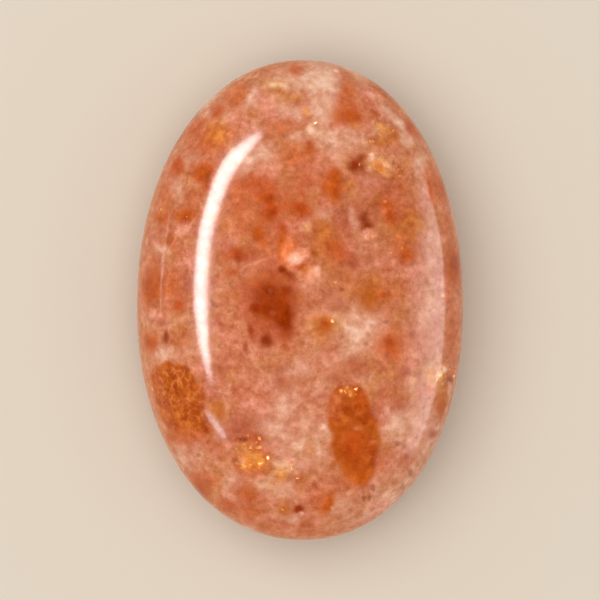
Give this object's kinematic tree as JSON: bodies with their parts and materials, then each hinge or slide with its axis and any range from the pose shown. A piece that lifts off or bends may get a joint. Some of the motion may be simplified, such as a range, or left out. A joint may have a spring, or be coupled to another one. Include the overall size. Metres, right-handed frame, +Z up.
{
  "type": "sunstone palm stone",
  "caption": "Oval polished sunstone pebble with a domed top, a flatter underside and a small rest flat: peach feldspar with burnt-orange patches and gold spangles.",
  "frame": {"origin": "middle of the stone's footprint, on the surface that it stands on", "axes": "+Z up through the domed crown, +Y along the stone's length, +X across its width"},
  "size_m": [0.0408, 0.06, 0.021],
  "materials": {
    "sunstone": "high polish over translucent peach feldspar with burnt-orange iron patches, pale clouds and gold spangles"
  },
  "bodies": {
    "root": {"sunstone": "sunstone"}
  },
  "joints": []
}
